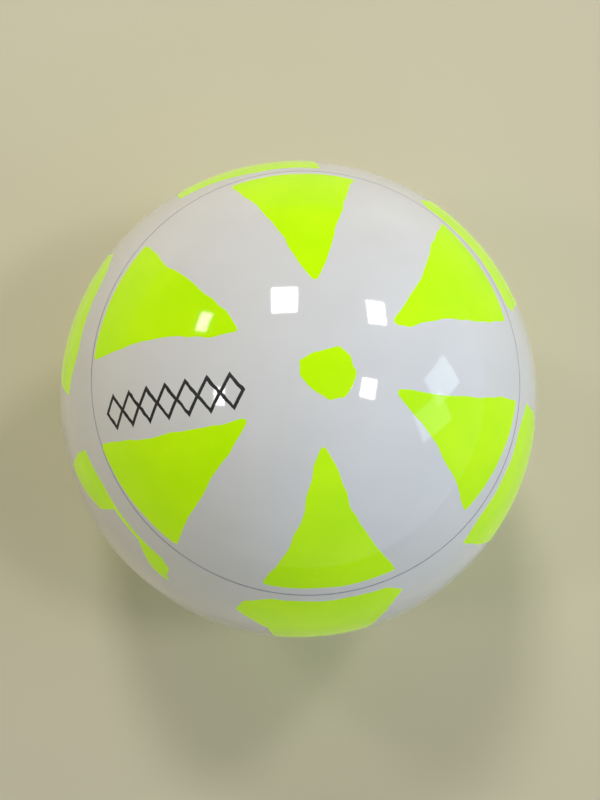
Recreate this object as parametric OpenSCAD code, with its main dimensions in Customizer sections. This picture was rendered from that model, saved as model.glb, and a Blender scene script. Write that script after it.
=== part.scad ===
// Hard stage juggling ball: two half shells lapped and welded at the equator,
// with fluorescent patches laid flush in shallow pockets round both poles.
// Origin at the ball's centre, +Z through the upper pole, +X through the marked spoke.

/* [Ball] */
// Outside diameter of the ball
ball_d = 100; // [80:1:130]
// Wall thickness of both half shells
wall = 4; // [3:0.5:6]

/* [Seam] */
// Height of the lap that centres one half in the other
lap_h = 5; // [3:0.5:8]
// Glue gap round the lap
lap_gap = 0.1; // [0.05:0.05:0.2]
// Width of the weld bead at the equator
bead_w = 1.2; // [0.8:0.1:2]
// Depth of the weld bead
bead_depth = 0.8; // [0.4:0.1:1]

/* [Pattern] */
// Thickness of the fluorescent layer
paint_t = 0.3; // [0.2:0.05:0.5]
// Size of the hand-cut polar dot, as a share of the one drawn
dot_scale = 1; // [0.8:0.05:1.1]
// Angle from the pole to the dot's centre
dot_off = 3.6; // [0:0.2:5]
// Turn about the axis to the dot's centre
dot_turn = 124; // [0:1:359]
// Angle from the pole to the fine line scored between the triangles and the belt patches
line_angle = 56; // [55.8:0.1:57]
// Width of the fine line
line_w = 0.4; // [0.2:0.05:0.5]

/* [Mark] */
// Number of outlined diamonds in the printed mark
diamonds = 7; // [3:1:7]
// Length of one diamond along the spoke
diamond_l = 4.9; // [4:0.1:5.2]
// Height of one diamond across the spoke
diamond_h = 7; // [4:0.5:8]
// Line width of the print
ink_w = 0.6; // [0.4:0.1:1]
// Thickness of the print, which stands on the shell
ink_t = 0.1; // [0.1:0.05:0.2]
// Angle from the pole to the middle of the mark
mark_angle = 33; // [32:1:35]
// Sideways shift of the mark from the middle of the spoke
mark_shift = 4; // [-1:0.5:4]

/* [Hidden] */
$fn = 180;
r = ball_d / 2;
inner_r = r - wall;
lap_r = r - wall / 2;
cut = 1;
sectors = 6;
sector = 360 / sectors;
// The dot's hand-cut outline, as the angle out from its centre every 30 degrees round it
dot_cut = [5.5, 4.5, 4.5, 5.5, 6, 6, 6, 6, 6, 5, 5, 6.5];
// Each patch was masked by hand. A row of its outline is the angle from the pole and the
// turns to its right and left edges, counted from the middle of its sector, in degrees.
triangle_cuts = [
    [[19, 3.5, 6.5], [22, -1, 9.5], [32, -8, 12], [43, -12.5, 15], [55, -17.5, 16.5]],
    [[18, -1.5, 1], [22, -7, 6], [32, -9, 9.5], [43, -13.5, 15], [53.5, -18, 18.5]],
    [[18.5, 3.5, 7], [22, -0.5, 9.5], [32, -7, 13], [43, -12.5, 16.5], [53, -16.5, 19]],
    [[19, -10, -6.5], [22, -13.5, -3], [32, -15.5, 5], [43, -18, 11.5], [54, -19, 14.5]],
    [[17.5, -7, -4], [22, -12, 3.5], [32, -14.5, 9], [43, -17, 13], [54, -19, 16.5]],
    [[17.5, 2, 4], [22, -6, 10.5], [32, -10, 14], [43, -12, 16.5], [54.5, -15, 20]]
];
belt_cuts = [
    [[62, -8, 15], [64, -18, 18.5], [70, -18.5, 20], [76, -17, 20]],
    [[58.5, -15, 16], [62, -21, 19.5], [67, -22, 17], [75, -14, 12.5], [87.5, -10.5, 10.5]],
    [[58.5, -15, 12], [61, -21, 19], [70, -17.5, 18], [87.5, -11, 11]],
    [[57.5, -14, 20], [60, -16, 23], [70, -14, 20], [87.5, -10, 12]],
    [[59, -9, 10], [63, -9, 28], [70, -8, 28], [87.5, -3, 20]],
    [[64, -4, 17], [69, -10.5, 27], [76, -10.5, 24], [87.5, -5, 17]]
];
// The first belt patch was only partly sprayed: this much of it stayed white
belt_gap = [[63, -1.5, 8], [67.5, -3, 13], [70, -4, 17], [70.5, -5, 25], [74, -10, 25], [77, -16, 25]];
yellow = [0.8, 1, 0.05];
white = [0.93, 0.93, 0.91];

// Corners of an outline, up its left edge and back down its right one
function corners(rows) = concat(
    [for (row = rows) [row[0], row[2]]],
    [for (k = [len(rows) - 1 : -1 : 0]) [rows[k][0], rows[k][1]]]
);

// A corner seen along the axis, and seen from outside with the equator at the bottom
function in_plan(corner) = r * sin(corner[0]) * [cos(corner[1]), sin(corner[1])];
function from_outside(corner) = r * [cos(corner[0]), sin(corner[0]) * sin(corner[1])];

// A spherical skin from the pocket floor out to the given radius
module skin(outer) {
    difference() {
        sphere(r = outer);
        sphere(r = r - paint_t);
    }
}

// Everything between two heights
module slab(low, high) {
    translate([-ball_d, -ball_d, low]) cube([2 * ball_d, 2 * ball_d, high - low]);
}

module dot_piece(outer) {
    step = 360 / len(dot_cut);
    centre = in_plan([dot_off, dot_turn]);
    intersection() {
        skin(outer);
        linear_extrude(height = ball_d) polygon([
            for (k = [0 : len(dot_cut) - 1]) centre + dot_scale * in_plan([dot_cut[k], k * step])
        ]);
    }
}

// Triangle number i: its base is cut level, so its outline runs on a little way past it
module triangle_piece(i, outer) {
    rows = triangle_cuts[i];
    base = rows[len(rows) - 1];
    run_on = [base[0] + 6, base[1], base[2]];
    intersection() {
        skin(outer);
        rotate([0, 0, sector * (i + 0.5)]) linear_extrude(height = ball_d)
            polygon([for (corner = corners(concat(rows, [run_on]))) in_plan(corner)]);
        slab(r * cos(base[0]), ball_d);
    }
}

// An outline carried straight in from outside, towards the axis
module side_prism(rows) {
    rotate([0, -90, 0]) mirror([0, 0, 1]) linear_extrude(height = ball_d)
        polygon([for (corner = corners(rows)) from_outside(corner)]);
}

module belt_piece(i, outer) {
    intersection() {
        skin(outer);
        rotate([0, 0, sector * (i + 0.5)]) difference() {
            side_prism(belt_cuts[i]);
            if (i == 0) side_prism(belt_gap);
        }
    }
}

// Every pocket of the upper half
module pockets() {
    dot_piece(r + cut);
    for (i = [0 : sectors - 1]) {
        triangle_piece(i, r + cut);
        belt_piece(i, r + cut);
    }
}

// Fine line scored round one half
module score_line() {
    rotate_extrude() translate([r * sin(line_angle), r * cos(line_angle)]) circle(d = line_w, $fn = 24);
}

module bead_groove() {
    difference() {
        slab(-bead_w / 2, bead_w / 2);
        cylinder(r = r - bead_depth, h = ball_d, center = true);
    }
}

// Half of the wall, with its pockets, line and bead groove
module half_wall() {
    difference() {
        sphere(r = r);
        sphere(r = inner_r);
        slab(-ball_d, 0);
        pockets();
        score_line();
        bead_groove();
    }
}

module upper_shell() {
    color(white) union() {
        half_wall();
        difference() {
            translate([0, 0, -lap_h]) cylinder(r = lap_r - lap_gap, h = lap_h);
            sphere(r = inner_r);
        }
    }
}

module lower_shell() {
    color(white) difference() {
        mirror([0, 0, 1]) half_wall();
        translate([0, 0, -lap_h - lap_gap]) cylinder(r = lap_r, h = lap_h + lap_gap + cut);
    }
}

module seam_weld() {
    color(white) intersection() {
        sphere(r = r);
        bead_groove();
    }
}

module upper_dot() {
    color(yellow) dot_piece(r);
}

module lower_dot() {
    color(yellow) mirror([0, 0, 1]) dot_piece(r);
}

module upper_triangle(i) {
    color(yellow) triangle_piece(i, r);
}

module lower_triangle(i) {
    color(yellow) mirror([0, 0, 1]) triangle_piece(i, r);
}

module upper_belt_patch(i) {
    color(yellow) belt_piece(i, r);
}

module lower_belt_patch(i) {
    color(yellow) mirror([0, 0, 1]) belt_piece(i, r);
}

// One outlined diamond about the origin
module diamond() {
    half = [diamond_l / 2, diamond_h / 2];
    inset = [ink_w, ink_w * diamond_h / diamond_l];
    hole = half - inset;
    difference() {
        polygon([[half[0], 0], [0, half[1]], [-half[0], 0], [0, -half[1]]]);
        polygon([[hole[0], 0], [0, hole[1]], [-hole[0], 0], [0, -hole[1]]]);
    }
}

// Plain chain of diamonds printed along the +X spoke
module printed_mark() {
    pitch = diamond_l - ink_w;
    color("black") intersection() {
        difference() {
            sphere(r = r + ink_t);
            sphere(r = r);
        }
        rotate([0, mark_angle, 0]) linear_extrude(height = ball_d)
            for (i = [0 : diamonds - 1])
                translate([(i - (diamonds - 1) / 2) * pitch, mark_shift]) diamond();
    }
}

upper_shell();
lower_shell();
seam_weld();
upper_dot();
lower_dot();
for (i = [0 : sectors - 1]) {
    upper_triangle(i);
    lower_triangle(i);
    upper_belt_patch(i);
    lower_belt_patch(i);
}
printed_mark();
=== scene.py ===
import math

import bmesh
import bpy
from mathutils import Matrix, Vector, noise


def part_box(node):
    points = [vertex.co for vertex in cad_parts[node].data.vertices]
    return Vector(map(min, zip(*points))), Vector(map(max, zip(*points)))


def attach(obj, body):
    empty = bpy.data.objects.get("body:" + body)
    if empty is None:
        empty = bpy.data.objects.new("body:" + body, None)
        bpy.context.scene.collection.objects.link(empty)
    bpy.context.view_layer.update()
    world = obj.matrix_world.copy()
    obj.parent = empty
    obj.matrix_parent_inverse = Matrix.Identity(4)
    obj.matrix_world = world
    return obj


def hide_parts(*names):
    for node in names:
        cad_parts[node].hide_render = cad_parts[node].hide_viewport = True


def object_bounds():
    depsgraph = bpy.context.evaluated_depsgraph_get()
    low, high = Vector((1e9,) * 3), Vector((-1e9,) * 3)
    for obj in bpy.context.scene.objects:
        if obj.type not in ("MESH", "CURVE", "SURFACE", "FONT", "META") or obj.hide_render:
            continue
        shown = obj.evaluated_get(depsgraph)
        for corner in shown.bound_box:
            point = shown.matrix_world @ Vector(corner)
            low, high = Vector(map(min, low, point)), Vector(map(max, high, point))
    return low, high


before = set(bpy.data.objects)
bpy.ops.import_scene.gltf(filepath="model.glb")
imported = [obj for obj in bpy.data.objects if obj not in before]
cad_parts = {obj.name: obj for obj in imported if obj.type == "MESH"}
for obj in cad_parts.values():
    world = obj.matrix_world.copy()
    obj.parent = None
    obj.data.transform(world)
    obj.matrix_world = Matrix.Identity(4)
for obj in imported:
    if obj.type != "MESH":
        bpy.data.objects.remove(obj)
cad_low, cad_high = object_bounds()

# ---------------------------------------------------------------- sizes, in metres and degrees
MM = 0.001
RADIUS = (cad_high.z - cad_low.z) / 2
SECTORS = 6
PAINT_STEP = 0.02 * MM      # the fluorescent layer stands this far above the white
PAINT_DEPTH = 0.3 * MM      # its whole thickness, as in the CAD pockets
INK_STEP = 0.01 * MM        # the print stands this far above the white, and is sunk as far into it
WHITE_RADIUS = RADIUS - PAINT_STEP
WALL = 4 * MM
LAP_HEIGHT = 5 * MM
LAP_GAP = 0.1 * MM
BEAD_RADIUS = RADIUS - 0.01 * MM
BEAD_DEPTH = 0.8 * MM
LINE_AT = 56.0              # angle from the pole to the scored line
LINE_WIDTH = 0.4 * MM
LINE_DEPTH = 0.2 * MM
LINE_HALF = math.degrees(LINE_WIDTH / 2 / RADIUS)
LINE_EDGE = math.degrees(0.04 * MM / RADIUS)         # narrow band that keeps the line's edge crisp
EDGE_STEP = 0.45 * MM       # about how far a hand-cut edge strays
BASE_SLANTS = {1: 1.6, 3: -2.2, 4: -1.2, 6: -1.2}    # degrees, where a triangle's base was cut aslant


# ---------------------------------------------------------------- reading the CAD nodes
def polar_span(node):
    """The node's nearest and furthest angle from its own pole."""
    low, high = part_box(node)
    heights = sorted((abs(low.z), abs(high.z)))
    return (math.degrees(math.acos(min(1, heights[1] / RADIUS))),
            math.degrees(math.acos(heights[0] / RADIUS)))


class Outline:
    """The rim of a CAD patch, read off its outer surface."""

    def __init__(self, node, middle):
        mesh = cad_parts[node].data
        outer = [v.co.length > RADIUS - PAINT_DEPTH / 2 for v in mesh.vertices]
        seen = {}
        for polygon in mesh.polygons:
            if all(outer[i] for i in polygon.vertices):
                for key in polygon.edge_keys:
                    seen[key] = seen.get(key, 0) + 1
        self.rim = [[mesh.vertices[i].co for i in key] for key, count in seen.items() if count == 1]
        self.middle = math.radians(middle)
        self.start, self.end = polar_span(node)

    def turns(self, polar):
        """Where the rim crosses a circle round the pole, as turns from the sector's middle."""
        polar = min(max(polar, self.start + 0.05), self.end - 0.05)
        height = RADIUS * math.cos(math.radians(polar))
        found = []
        for a, b in self.rim:
            below, above = abs(a.z) - height, abs(b.z) - height
            if (below > 0) != (above > 0):
                at = a.lerp(b, below / (below - above))
                found.append(math.degrees(math.remainder(math.atan2(at.y, at.x) - self.middle, math.tau)))
        return sorted(found)

    def reach(self, centre, turn):
        """How far the rim lies from a centre in plan, in one direction."""
        ray, side = Vector((math.cos(turn), math.sin(turn))), Vector((-math.sin(turn), math.cos(turn)))
        found = []
        for a, b in self.rim:
            first, second = a.xy - centre, b.xy - centre
            left, right = first.dot(side), second.dot(side)
            if (left > 0) != (right > 0):
                found.append(first.lerp(second, left / (left - right)).dot(ray))
        return max(found)


# ---------------------------------------------------------------- mesh helpers
def on_ball(polar, turn, side=1):
    """Unit vector at an angle from the pole and a turn about the axis. side -1 is the lower half."""
    p, t = math.radians(polar), math.radians(turn)
    return Vector((math.sin(p) * math.cos(t), math.sin(p) * math.sin(t), side * math.cos(p)))


def finish_mesh(name, bm, material, nodes):
    bmesh.ops.recalc_face_normals(bm, faces=bm.faces)
    mesh = bpy.data.meshes.new(name)
    bm.to_mesh(mesh)
    bm.free()
    for polygon in mesh.polygons:
        polygon.use_smooth = True
    mesh.set_sharp_from_angle(angle=math.radians(40))
    mesh.materials.append(material)
    piece = bpy.data.objects.new(name, mesh)
    bpy.context.scene.collection.objects.link(piece)
    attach(piece, "root")
    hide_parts(*nodes)
    return piece


def revolve(bm, profile, segments=288):
    """Turns a closed profile of (radius, height) points about the axis. A radius of 0 is a pole."""
    rings = []
    for radius, height in profile:
        if radius == 0:
            rings.append([bm.verts.new((0, 0, height))] * segments)
        else:
            turns = [math.tau * k / segments for k in range(segments)]
            rings.append([bm.verts.new((radius * math.cos(t), radius * math.sin(t), height)) for t in turns])
    for a, b in zip(rings, rings[1:] + rings[:1]):
        for k in range(segments):
            n = (k + 1) % segments
            corners = list(dict.fromkeys((a[k], a[n], b[n], b[k])))
            if len(corners) > 2:
                bm.faces.new(corners)


def skin(bm, spot, columns, rows, outer, inner):
    """A closed sheet on the ball. spot(u, v) is a unit vector, with u and v from 0 to 1."""
    def layer(radius, edge_radius):
        grid = []
        for j in range(rows + 1):
            line = []
            for i in range(columns + 1):
                rim = i in (0, columns) or j in (0, rows)
                line.append(bm.verts.new(spot(i / columns, j / rows) * (edge_radius if rim else radius)))
            grid.append(line)
        return grid

    top = layer(outer, outer - 0.3 * PAINT_STEP)
    under = layer(inner, inner)
    for j in range(rows):
        for i in range(columns):
            for grid in (top, under):
                bm.faces.new((grid[j][i], grid[j][i + 1], grid[j + 1][i + 1], grid[j + 1][i]))
    rim = [(0, i) for i in range(columns)] + [(j, columns) for j in range(rows)]
    rim += [(rows, i) for i in range(columns, 0, -1)] + [(j, 0) for j in range(rows, 0, -1)]
    for (j, i), (l, k) in zip(rim, rim[1:] + rim[:1]):
        bm.faces.new((top[j][i], top[l][k], under[l][k], under[j][i]))


def wobble(at, seed, waves, size):
    """Hand-cut unevenness along an edge: at runs from 0 to 1, and size sets how far it strays."""
    broad = noise.noise(Vector((at * waves, seed * 7.31, 0.5)))
    fine = noise.noise(Vector((at * waves * 3.1, seed * 3.17, 8.5)))
    return size * (1.5 * broad + 0.6 * fine)


# ---------------------------------------------------------------- materials
def new_material(name):
    material = bpy.data.materials.new(name)
    material.use_nodes = True
    tree = material.node_tree
    shader = tree.nodes["Principled BSDF"]
    return material, tree, shader


def object_noise(tree, scale, detail=3.0):
    """Noise in real-scale object coordinates. scale is cycles per metre."""
    place = tree.nodes.new("ShaderNodeTexCoord")
    texture = tree.nodes.new("ShaderNodeTexNoise")
    texture.inputs["Scale"].default_value = scale
    texture.inputs["Detail"].default_value = detail
    tree.links.new(place.outputs["Object"], texture.inputs["Vector"])
    return texture


def two_tone(tree, texture, low, high, dark, light):
    ramp = tree.nodes.new("ShaderNodeValToRGB")
    ramp.color_ramp.elements[0].position = low
    ramp.color_ramp.elements[1].position = high
    ramp.color_ramp.elements[0].color = (*dark, 1)
    ramp.color_ramp.elements[1].color = (*light, 1)
    tree.links.new(texture.outputs["Fac"], ramp.inputs["Fac"])
    return ramp


def add_bump(tree, shader, scale, height, detail=2.0):
    texture = object_noise(tree, scale, detail)
    bump = tree.nodes.new("ShaderNodeBump")
    bump.inputs["Distance"].default_value = height
    bump.inputs["Strength"].default_value = 1.0
    tree.links.new(texture.outputs["Fac"], bump.inputs["Height"])
    tree.links.new(bump.outputs["Normal"], shader.inputs["Normal"])


def gloss(shader, roughness, ior, coat):
    shader.inputs["Roughness"].default_value = roughness
    shader.inputs["IOR"].default_value = ior
    shader.inputs["Coat Weight"].default_value = coat
    shader.inputs["Coat Roughness"].default_value = 0.05
    shader.inputs["Coat IOR"].default_value = 1.5


def white_plastic(name, dark, light):
    material, tree, shader = new_material(name)
    tone = two_tone(tree, object_noise(tree, 60), 0.35, 0.65, dark, light)
    tree.links.new(tone.outputs["Color"], shader.inputs["Base Color"])
    gloss(shader, 0.06, 1.5, 0.3)
    add_bump(tree, shader, 220, 0.004 * MM)
    return material


def fluorescent_paint():
    material, tree, shader = new_material("fluorescent_paint")
    tone = two_tone(tree, object_noise(tree, 90), 0.3, 0.7, (0.52, 0.93, 0.002), (0.6, 1.0, 0.004))
    tree.links.new(tone.outputs["Color"], shader.inputs["Base Color"])
    tree.links.new(tone.outputs["Color"], shader.inputs["Emission Color"])
    shader.inputs["Emission Strength"].default_value = 0.16
    gloss(shader, 0.06, 1.33, 0.0)
    add_bump(tree, shader, 220, 0.004 * MM)
    return material


def ink():
    material, tree, shader = new_material("ink")
    tone = two_tone(tree, object_noise(tree, 1500), 0.3, 0.7, (0.006, 0.006, 0.007), (0.03, 0.03, 0.032))
    tree.links.new(tone.outputs["Color"], shader.inputs["Base Color"])
    shader.inputs["Roughness"].default_value = 0.55
    add_bump(tree, shader, 3000, 0.004 * MM)
    return material


def line_painted_shade():
    # Painted shade: a dull grey finish that darkens the scored line's groove.
    material, tree, shader = new_material("line_painted_shade")
    tone = two_tone(tree, object_noise(tree, 400), 0.3, 0.7, (0.46, 0.44, 0.48), (0.54, 0.52, 0.56))
    tree.links.new(tone.outputs["Color"], shader.inputs["Base Color"])
    shader.inputs["Roughness"].default_value = 0.8
    add_bump(tree, shader, 3000, 0.01 * MM)
    return material


WHITE = white_plastic("white_plastic", (0.80, 0.785, 0.79), (0.84, 0.825, 0.83))
WELD = white_plastic("weld_white", (0.76, 0.76, 0.74), (0.82, 0.82, 0.80))
YELLOW = fluorescent_paint()
INK = ink()
# Painted shade for the groove of the scored line.
LINE_SHADE = line_painted_shade()


# ---------------------------------------------------------------- shells
def section_point(radius, polar):
    """The point at an angle from the pole, as (radius, height)."""
    return radius * math.sin(math.radians(polar)), radius * math.cos(math.radians(polar))


def arc(radius, start, end, step=1.25):
    """Points from one polar angle to another."""
    count = max(2, round(abs(end - start) / step))
    return [section_point(radius, start + (end - start) * k / count) for k in range(count + 1)]


def outside_profile():
    """The white outside from the pole to the weld bead, with the scored line."""
    bead_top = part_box("seam_weld")[1].z
    last = math.degrees(math.acos(bead_top / WHITE_RADIUS))
    points = [(0, WHITE_RADIUS)] + arc(WHITE_RADIUS, 0, LINE_AT - LINE_HALF - LINE_EDGE)[1:]
    points.append(section_point(WHITE_RADIUS, LINE_AT - LINE_HALF))
    points.append(section_point(WHITE_RADIUS - LINE_DEPTH, LINE_AT))
    points.append(section_point(WHITE_RADIUS, LINE_AT + LINE_HALF))
    points += arc(WHITE_RADIUS, LINE_AT + LINE_HALF + LINE_EDGE, last)
    return points


def shade_the_line(shell, side):
    """Painted shade in the scored line: its faces get a dull grey finish that darkens the groove."""
    shell.data.materials.append(LINE_SHADE)
    for polygon in shell.data.polygons:
        polar = math.degrees(polygon.center.angle(Vector((0, 0, side))))
        if abs(polar - LINE_AT) < LINE_HALF and polygon.center.length > RADIUS - WALL / 2:
            polygon.material_index = 1


def half_shell(name, side):
    """One half of the wall. It has no pockets: the patches are sunk through its surface."""
    bead_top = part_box("seam_weld")[1].z
    groove = RADIUS - BEAD_DEPTH
    lap = RADIUS - WALL / 2
    inside = RADIUS - WALL
    profile = outside_profile() + [(groove, bead_top), (groove, 0)]
    if side > 0:
        foot = math.degrees(math.acos(-LAP_HEIGHT / inside))
        profile += [(lap - LAP_GAP, 0), (lap - LAP_GAP, -LAP_HEIGHT)] + arc(inside, foot, 0)[:-1]
    else:
        socket = LAP_HEIGHT + LAP_GAP
        profile += [(lap, 0), (lap, socket)] + arc(inside, math.degrees(math.acos(socket / inside)), 0)[:-1]
    profile += [(0, inside)]
    bm = bmesh.new()
    revolve(bm, [(r, side * h) for r, h in profile])
    shade_the_line(finish_mesh(name, bm, WHITE, [name]), side)


def weld_bead():
    """The bead fills its groove, and its face stands 0.01 mm proud of the white."""
    low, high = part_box("seam_weld")
    bm = bmesh.new()
    section = [(RADIUS - BEAD_DEPTH, low.z), (WHITE_RADIUS, low.z)]
    section += [(BEAD_RADIUS, low.z * 0.6), (BEAD_RADIUS, 0), (BEAD_RADIUS, high.z * 0.6)]
    section += [(WHITE_RADIUS, high.z), (RADIUS - BEAD_DEPTH, high.z)]
    revolve(bm, section)
    finish_mesh("seam_weld", bm, WELD, ["seam_weld"])


# ---------------------------------------------------------------- patches
def corner_inset(distance, size):
    """How far a rounded corner of that size draws the side in, at a distance from the end."""
    if distance >= size:
        return 0.0
    return size - math.sqrt(size * size - (size - distance) ** 2)


def polar_dot(name, side, seed):
    """Irregular disc that follows the CAD outline: a square grid pressed onto a circle."""
    outline = Outline(name, 0)
    low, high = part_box(name)
    centre = ((low + high) / 2).xy

    def spot(u, v):
        x, y = 2 * u - 1, 2 * v - 1
        disc_x, disc_y = x * math.sqrt(1 - y * y / 2), y * math.sqrt(1 - x * x / 2)
        turn = math.atan2(disc_y, disc_x)
        ray = Vector((math.cos(turn), math.sin(turn)))
        reach = outline.reach(centre, turn)
        reach *= 1 + 0.06 * noise.noise(Vector((2 * ray.x, 2 * ray.y, seed)))
        flat = (centre + ray * reach * math.hypot(disc_x, disc_y)) / RADIUS
        return Vector((flat.x, flat.y, side * math.sqrt(1 - flat.length_squared)))

    bm = bmesh.new()
    skin(bm, spot, 40, 40, RADIUS, RADIUS - PAINT_DEPTH)
    finish_mesh(name, bm, YELLOW, [name])


def across(polar, size):
    """A length along a circle round the pole, as a turn in degrees."""
    return math.degrees(size / (RADIUS * math.sin(math.radians(polar))))


def triangle(name, middle, side, seed, slant):
    """A triangle that follows its CAD outline. Its base leans by slant degrees from right to left."""
    outline = Outline(name, middle)

    def spot(u, v):
        polar = outline.start + (outline.end - outline.start) * v
        right, left = outline.turns(polar)
        shy = min(1, v / 0.15)
        length = math.radians(outline.end - outline.start) * RADIUS
        inset = corner_inset(v * length, 0.35 * MM) + corner_inset((1 - v) * length, 0.8 * MM)
        right += across(polar, shy * wobble(v, seed, 4, EDGE_STEP) + inset)
        left += across(polar, shy * wobble(v, seed + 50, 4, EDGE_STEP) - inset)
        turn = right + (left - right) * u
        polar += v ** 3 * (slant * (0.5 - u) + math.degrees(wobble(u, seed + 90, 4, 0.12 * MM) / RADIUS))
        return on_ball(polar, middle + turn, side)

    bm = bmesh.new()
    skin(bm, spot, 48, 96, RADIUS, RADIUS - PAINT_DEPTH)
    finish_mesh(name, bm, YELLOW, [name])


def belt_patch(name, middle, side, seed):
    """A patch from the white ring towards the equator, following its CAD outline."""
    outline = Outline(name, middle)

    def spot(u, v):
        polar = outline.start + (outline.end - outline.start) * v
        right, left = outline.turns(polar)
        length = math.radians(outline.end - outline.start) * RADIUS
        inset = corner_inset(v * length, 0.7 * MM) + corner_inset((1 - v) * length, 0.7 * MM)
        right += across(polar, wobble(v, seed, 4, EDGE_STEP) + inset)
        left += across(polar, wobble(v, seed + 50, 4, EDGE_STEP) - inset)
        turn = right + (left - right) * u
        polar += (1 - v) * math.degrees(wobble(u, seed + 90, 4, 0.25 * MM) / RADIUS)
        return on_ball(polar, middle + turn, side)

    bm = bmesh.new()
    skin(bm, spot, 56, 56, RADIUS, RADIUS - PAINT_DEPTH)
    finish_mesh(name, bm, YELLOW, [name])


def two_lobes(name, middle, side, seed):
    """The partly sprayed patch: two lobes hanging from a thin arch, as three sheets side by side."""
    outline = Outline(name, middle)
    gap_top, left_end = 63.1, 69.4      # angles from the pole to the gap's top and the left lobe's end

    def edges(polar):
        """Turns to the patch's right edge, to the two sides of its gap and to its left edge."""
        rim = outline.turns(polar)
        gap = outline.turns(min(max(polar, gap_top), left_end))
        if polar > left_end:
            return rim[0], rim[1], gap[2], gap[3]
        return rim[0], gap[1], gap[2], rim[-1]

    def sheet(end, first, second, columns, rows, first_step, second_step):
        length = math.radians(end - outline.start) * RADIUS

        def spot(u, v):
            polar = outline.start + (end - outline.start) * v
            both = edges(polar)
            inset = corner_inset((1 - v) * length, 0.7 * MM) if first_step or second_step else 0
            right = both[first] + across(polar, wobble(v, seed, 4, first_step) + inset)
            left = both[second] + across(polar, wobble(v, seed + 50, 4, second_step) - inset)
            return on_ball(polar, middle + right + (left - right) * u, side)

        skin(bm, spot, columns, rows, RADIUS, RADIUS - PAINT_DEPTH)

    bm = bmesh.new()
    sheet(outline.end, 0, 1, 28, 48, EDGE_STEP, 0)
    sheet(gap_top, 1, 2, 20, 4, 0, 0)
    sheet(left_end, 2, 3, 24, 32, 0, EDGE_STEP)
    finish_mesh(name, bm, YELLOW, [name])


# ---------------------------------------------------------------- print
def diamond_rings(bm, sizes, shares, place):
    """One outlined diamond of 2 rims and 2 layers. sizes are its half length and half height."""
    per_side = 12
    count = 4 * per_side
    half_length, half_height = sizes
    corners = [(half_length, 0), (0, half_height), (-half_length, 0), (0, -half_height)]
    rings = []
    for share, layers in zip(shares, ((1, -1), (-1, 1))):
        for layer in layers:
            ring = []
            for (ax, ay), (bx, by) in zip(corners, corners[1:] + corners[:1]):
                for step in range(per_side):
                    t = step / per_side
                    x, y = (ax + (bx - ax) * t) * share, (ay + (by - ay) * t) * share
                    ring.append(bm.verts.new(place(x, y, share, WHITE_RADIUS + layer * INK_STEP)))
            rings.append(ring)
    for a, b in zip(rings, rings[1:] + rings[:1]):
        for i in range(count):
            j = (i + 1) % count
            bm.faces.new((a[i], a[j], b[j], b[i]))


def printed_mark(name, diamonds=7, stroke=0.6 * MM):
    """A chain of outlined diamonds, drawn where the CAD node lies."""
    low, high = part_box(name)
    centre = Vector(((low.x + high.x) / 2, 0, (low.z + high.z) / 2)).normalized()
    sideways = Vector((0, 1, 0))
    along = sideways.cross(centre).normalized()
    reach = [v.co.dot(along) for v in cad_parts[name].data.vertices]
    length, middle = max(reach) - min(reach), (max(reach) + min(reach)) / 2
    height, lift = high.y - low.y, (high.y + low.y) / 2
    pitch = (length - stroke) / diamonds
    half_length, half_height = (pitch + stroke) / 2, height / 2
    inner = 1 - stroke * math.hypot(half_length, half_height) / (half_length * half_height)
    bm = bmesh.new()
    for k in range(diamonds):
        offset = (k - (diamonds - 1) / 2) * pitch

        def place(x, y, share, radius):
            shake = 0.12 * MM * noise.noise(Vector((x / MM, y / MM, 9.0 * k + share)))
            x, y = x + offset + middle + shake, y + lift + shake
            depth = math.sqrt(WHITE_RADIUS ** 2 - x * x - y * y)
            return (centre * depth + along * x + sideways * y).normalized() * radius

        diamond_rings(bm, (half_length, half_height), (1.0, inner), place)
    finish_mesh(name, bm, INK, [name])


half_shell("upper_shell", 1)
half_shell("lower_shell", -1)
weld_bead()
for half, side, seed in (("upper", 1, 0), ("lower", -1, 200)):
    polar_dot(half + "_dot", side, seed + 0.7)
    for k in range(1, SECTORS + 1):
        middle = (k - 0.5) * 360 / SECTORS
        triangle(f"{half}_triangle_{k}", middle, side, seed + 3.7 * k, BASE_SLANTS.get(k, 0))
        if k == 1:
            two_lobes(f"{half}_belt_patch_{k}", middle, side, seed + 5.3 * k)
        else:
            belt_patch(f"{half}_belt_patch_{k}", middle, side, seed + 5.3 * k)
printed_mark("printed_mark")


# ---------------------------------------------------------------- camera
TILT = 8.9            # the pole leans this far from the line of sight
TILT_TURN = 66.0      # towards this direction in the picture, anticlockwise from its right
MARK_TURN = 185.0     # the marked spoke points this way in the picture
DISTANCE = 6 * RADIUS
LENS = 63.5           # millimetres, for a sensor that is 36 mm along the picture's longer side
SENSOR = 36
SHIFT = (0.0019, -0.0012)


def picture_axes():
    """The picture's right, its up and the way back to the camera, in the frame's axes."""
    tilt, lean = math.radians(TILT), math.radians(TILT_TURN)
    pole = Vector((math.sin(tilt) * math.cos(lean), math.sin(tilt) * math.sin(lean), math.cos(tilt)))
    first = Vector((0, 1, 0)).cross(pole).normalized()
    second = pole.cross(first)
    turn = math.radians(MARK_TURN)
    x_axis = first * math.cos(turn) + second * math.sin(turn)
    y_axis = pole.cross(x_axis)
    rows = Matrix((x_axis, y_axis, pole))
    return rows.col[0].copy(), rows.col[1].copy(), rows.col[2].copy()


RIGHT, UP, BACK = picture_axes()
PICTURE = Matrix((RIGHT, UP, BACK)).transposed()


def make_camera():
    data = bpy.data.cameras.new("camera")
    data.sensor_width = SENSOR
    data.lens = LENS
    data.shift_x, data.shift_y = SHIFT
    data.clip_start = 10 * MM
    camera = bpy.data.objects.new("camera", data)
    bpy.context.scene.collection.objects.link(camera)
    camera.matrix_world = Matrix.Translation(BACK * DISTANCE) @ PICTURE.to_4x4()
    bpy.context.scene.camera = camera


# ---------------------------------------------------------------- floor and lights
FLOOR_HALF = 2.0      # from the middle of the floor to its edge


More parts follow.
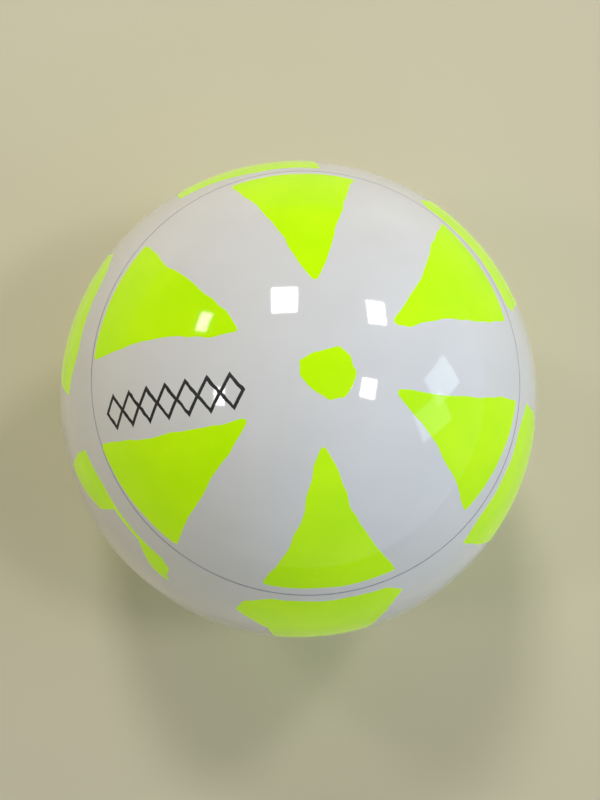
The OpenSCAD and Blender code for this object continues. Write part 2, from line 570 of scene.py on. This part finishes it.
def make_floor():
    material, tree, shader = new_material("floor_card")
    tone = two_tone(tree, object_noise(tree, 6), 0.3, 0.7, (0.70, 0.62, 0.435), (0.73, 0.65, 0.465))
    tree.links.new(tone.outputs["Color"], shader.inputs["Base Color"])
    shader.inputs["Roughness"].default_value = 0.7
    bm = bmesh.new()
    bmesh.ops.create_grid(bm, x_segments=4, y_segments=4, size=FLOOR_HALF)
    mesh = bpy.data.meshes.new("floor")
    bm.to_mesh(mesh)
    bm.free()
    mesh.materials.append(material)
    floor = bpy.data.objects.new("floor", mesh)
    floor.location.z = cad_low.z
    bpy.context.scene.collection.objects.link(floor)


LIGHT_DISTANCE = 2.0
PANEL_WHITE = (0.98, 0.98, 1.0)
WINDOW_BLUE = (0.72, 0.88, 1.0)
# Name, direction as (right, up, back) in the picture, width, height, radiance, roll, colour
LIGHTS = (
    ("panel_a", (-0.10, 0.71, 0.70), 0.37, 0.43, 22, 5, PANEL_WHITE),
    ("panel_b", (0.54, 0.60, 0.59), 0.27, 0.36, 22, -15, PANEL_WHITE),
    ("panel_c", (0.52, 0.08, 0.85), 0.24, 0.30, 19, -12, PANEL_WHITE),
    ("panel_d", (-0.65, 0.53, 0.55), 0.19, 0.28, 26, 0, PANEL_WHITE),
    ("panel_e", (-0.58, 0.02, 0.81), 0.17, 0.27, 18, 0, PANEL_WHITE),
    ("window_near", (0.93, 0.12, 0.36), 0.55, 0.45, 3.0, 35, WINDOW_BLUE),
    ("window_far", (0.89, -0.12, 0.44), 0.60, 0.45, 2.5, 35, WINDOW_BLUE),
)


def area_light(name, towards, width, height, radiance, roll, colour):
    """A panel facing the ball."""
    data = bpy.data.lights.new(name, "AREA")
    data.shape = "RECTANGLE"
    data.size, data.size_y = width, height
    data.energy = radiance * math.pi * width * height
    data.color = colour
    light = bpy.data.objects.new(name, data)
    bpy.context.scene.collection.objects.link(light)
    away = (PICTURE @ Vector(towards)).normalized()
    level = Matrix.Rotation(math.radians(roll), 3, away) @ UP.cross(away).normalized()
    turn = Matrix((level, away.cross(level), away)).transposed()
    light.matrix_world = Matrix.Translation(away * LIGHT_DISTANCE) @ turn.to_4x4()


def world_ramp(tree, direction, stops):
    """A smooth run of colours, from facing away from a direction (0) to facing it (1)."""
    place = tree.nodes.new("ShaderNodeTexCoord")
    facing = tree.nodes.new("ShaderNodeVectorMath")
    facing.operation = "DOT_PRODUCT"
    facing.inputs[1].default_value = direction
    spread = tree.nodes.new("ShaderNodeMapRange")
    spread.inputs["From Min"].default_value = -1
    ramp = tree.nodes.new("ShaderNodeValToRGB")
    ramp.color_ramp.interpolation = "EASE"
    while len(ramp.color_ramp.elements) < len(stops):
        ramp.color_ramp.elements.new(0.5)
    for element, (position, colour) in zip(ramp.color_ramp.elements, stops):
        element.position = position
        element.color = (*colour, 1)
    tree.links.new(place.outputs["Generated"], facing.inputs[0])
    tree.links.new(facing.outputs["Value"], spread.inputs["Value"])
    tree.links.new(spread.outputs["Result"], ramp.inputs["Fac"])
    return ramp


def make_world():
    """Soft room light: dim overhead, pale walls near the horizon, daylight from the right."""
    world = bpy.data.worlds.new("studio")
    bpy.context.scene.world = world
    world.use_nodes = True
    tree = world.node_tree
    daylight = world_ramp(tree, RIGHT * 0.87 - UP * 0.5, (
        (0.0, (0.10, 0.09, 0.035)), (0.45, (0.11, 0.105, 0.04)), (1.0, (0.42, 0.55, 0.76))))
    walls = world_ramp(tree, Vector((0, 0, 1)), (
        (0.5, (0.30, 0.265, 0.15)), (0.62, (0.12, 0.11, 0.06)), (0.8, (0.0, 0.0, 0.0))))
    both = tree.nodes.new("ShaderNodeVectorMath")
    both.operation = "ADD"
    tree.links.new(daylight.outputs["Color"], both.inputs[0])
    tree.links.new(walls.outputs["Color"], both.inputs[1])
    tree.links.new(both.outputs["Vector"], tree.nodes["Background"].inputs["Color"])


make_camera()
make_floor()
for light in LIGHTS:
    area_light(*light)
make_world()
bpy.context.scene.view_settings.view_transform = "Standard"
